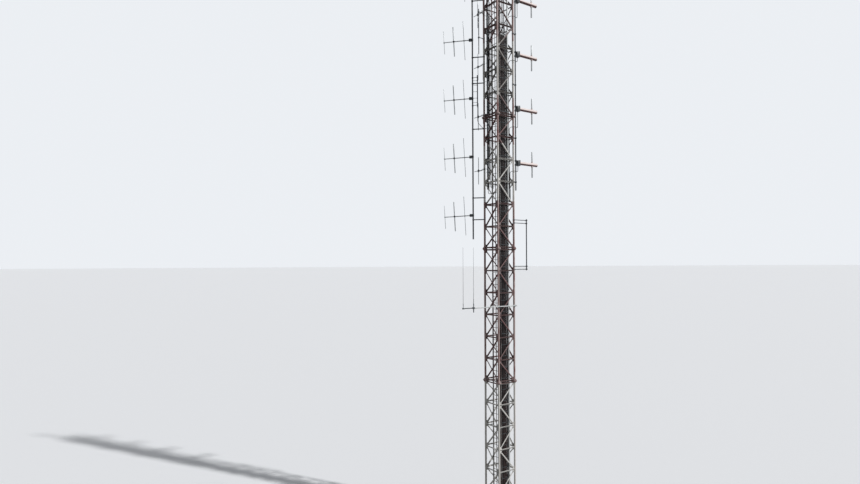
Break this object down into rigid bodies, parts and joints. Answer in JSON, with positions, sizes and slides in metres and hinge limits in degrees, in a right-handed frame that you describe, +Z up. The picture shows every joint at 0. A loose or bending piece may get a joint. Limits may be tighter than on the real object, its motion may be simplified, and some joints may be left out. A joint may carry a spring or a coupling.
{
  "type": "lattice radio mast",
  "caption": "Free-standing square lattice radio mast in red and white sections, with yagi, tube and side dipole antennas, whips, ladder and feeder run.",
  "frame": {"origin": "centre of the underside of the concrete foundation block", "axes": "+Z up the mast; the faces look along X and Y; the front leg, nearest the picture's camera, is at +X -Y"},
  "size_m": [2.523, 4.4545, 26.4],
  "materials": {
    "red_paint": "faded matt",
    "white_paint": "weathered matt",
    "galvanised_steel": "dull zinc",
    "aluminium": "weathered",
    "fibreglass": "weathered",
    "cable_jacket": "satin",
    "concrete": "rough cast",
    "lamp_glass": "glossy"
  },
  "bodies": {
    "root": {"plinth": "concrete", "section_1_legs": "white_paint", "section_2_legs": "red_paint", "section_3_legs": "white_paint", "section_4_legs": "red_paint", "section_1_front_bracing": "white_paint", "section_1_right_bracing": "white_paint", "section_1_back_bracing": "white_paint", "section_1_left_bracing": "white_paint", "section_2_front_bracing": "red_paint", "section_2_right_bracing": "red_paint", "section_2_back_bracing": "red_paint", "section_2_left_bracing": "red_paint", "section_3_front_bracing": "white_paint", "section_3_right_bracing": "white_paint", "section_3_back_bracing": "white_paint", "section_3_left_bracing": "white_paint", "section_4_front_bracing": "red_paint", "section_4_right_bracing": "red_paint", "section_4_back_bracing": "red_paint", "section_4_left_bracing": "red_paint", "ladder": "galvanised_steel", "cable_ladder": "galvanised_steel", "feeder_cables": "cable_jacket", "harness_rack": "galvanised_steel", "jumper_cables": "cable_jacket", "yagi_pole": "galvanised_steel", "yagi_1": "aluminium", "yagi_2": "aluminium", "yagi_3": "aluminium", "yagi_4": "aluminium", "yagi_5": "aluminium", "tube_dipole_pole": "red_paint", "tube_dipole_1": "red_paint", "tube_dipole_2": "red_paint", "tube_dipole_3": "red_paint", "tube_dipole_4": "red_paint", "power_dividers": "cable_jacket", "side_dipoles": "aluminium", "collinear_antenna": "galvanised_steel", "standoff_pole": "galvanised_steel", "outrigger": "galvanised_steel", "whip_antennas": "fibreglass", "lightning_rod": "galvanised_steel", "obstruction_light": "lamp_glass"}
  },
  "joints": []
}
